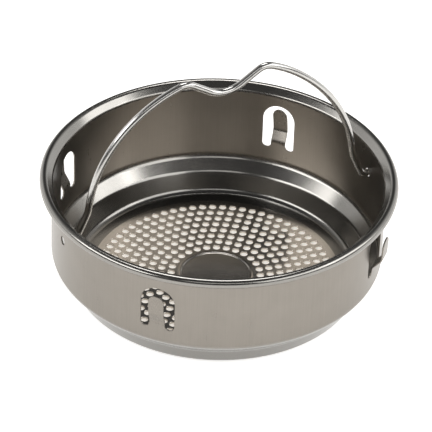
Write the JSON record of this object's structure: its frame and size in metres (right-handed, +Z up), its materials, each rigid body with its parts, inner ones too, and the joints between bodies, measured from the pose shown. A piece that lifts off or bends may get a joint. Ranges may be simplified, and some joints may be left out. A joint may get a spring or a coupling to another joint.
{
  "type": "basket strainer",
  "caption": "Lift-out kitchen sink basket strainer: drawn steel cup with a rolled rim, perforated floor, sprung wall tongues and a swinging wire handle.",
  "frame": {"origin": "centre of the round resting face under the floor", "axes": "+Z up through the open mouth; X along the axis of the handle's two pivots; the four tongues stand at 45, 135, 225 and 315 degrees from +X"},
  "size_m": [0.11, 0.11, 0.0748],
  "materials": {
    "satin_steel": "satin, as drawn, with a faint vertical grain",
    "polished_steel": "smooth and bright, nearly a mirror",
    "tongue_steel": "satin, lanced from the wall",
    "bright_wire": "bright drawn wire"
  },
  "bodies": {
    "basket": {"basket_body": "satin_steel", "perforated_floor": "polished_steel"},
    "handle": {"bail_handle": "bright_wire"},
    "tongue_1": {"spring_tongue_1": "tongue_steel"},
    "tongue_2": {"spring_tongue_2": "tongue_steel"},
    "tongue_3": {"spring_tongue_3": "tongue_steel"},
    "tongue_4": {"spring_tongue_4": "tongue_steel"}
  },
  "joints": [
    {"name": "handle_swing", "type": "hinge", "parent": "basket", "child": "handle", "pos_m": [0, 0, 0.0265], "axis": [1, 0, 0], "range_deg": [-110, 110]},
    {"name": "tongue_1_flex", "type": "hinge", "parent": "basket", "child": "tongue_1", "pos_m": [0.0361, 0.0361, 0.0164], "axis": [0.7071, -0.7071, 0], "range_deg": [0, 3], "stiffness_Nm_per_rad": 2.4},
    {"name": "tongue_2_flex", "type": "hinge", "parent": "basket", "child": "tongue_2", "pos_m": [-0.0361, 0.0361, 0.0164], "axis": [0.7071, 0.7071, 0], "range_deg": [0, 3], "stiffness_Nm_per_rad": 2.4},
    {"name": "tongue_3_flex", "type": "hinge", "parent": "basket", "child": "tongue_3", "pos_m": [-0.0361, -0.0361, 0.0164], "axis": [-0.7071, 0.7071, 0], "range_deg": [0, 3], "stiffness_Nm_per_rad": 2.4},
    {"name": "tongue_4_flex", "type": "hinge", "parent": "basket", "child": "tongue_4", "pos_m": [0.0361, -0.0361, 0.0164], "axis": [-0.7071, -0.7071, 0], "range_deg": [0, 3], "stiffness_Nm_per_rad": 2.4}
  ]
}
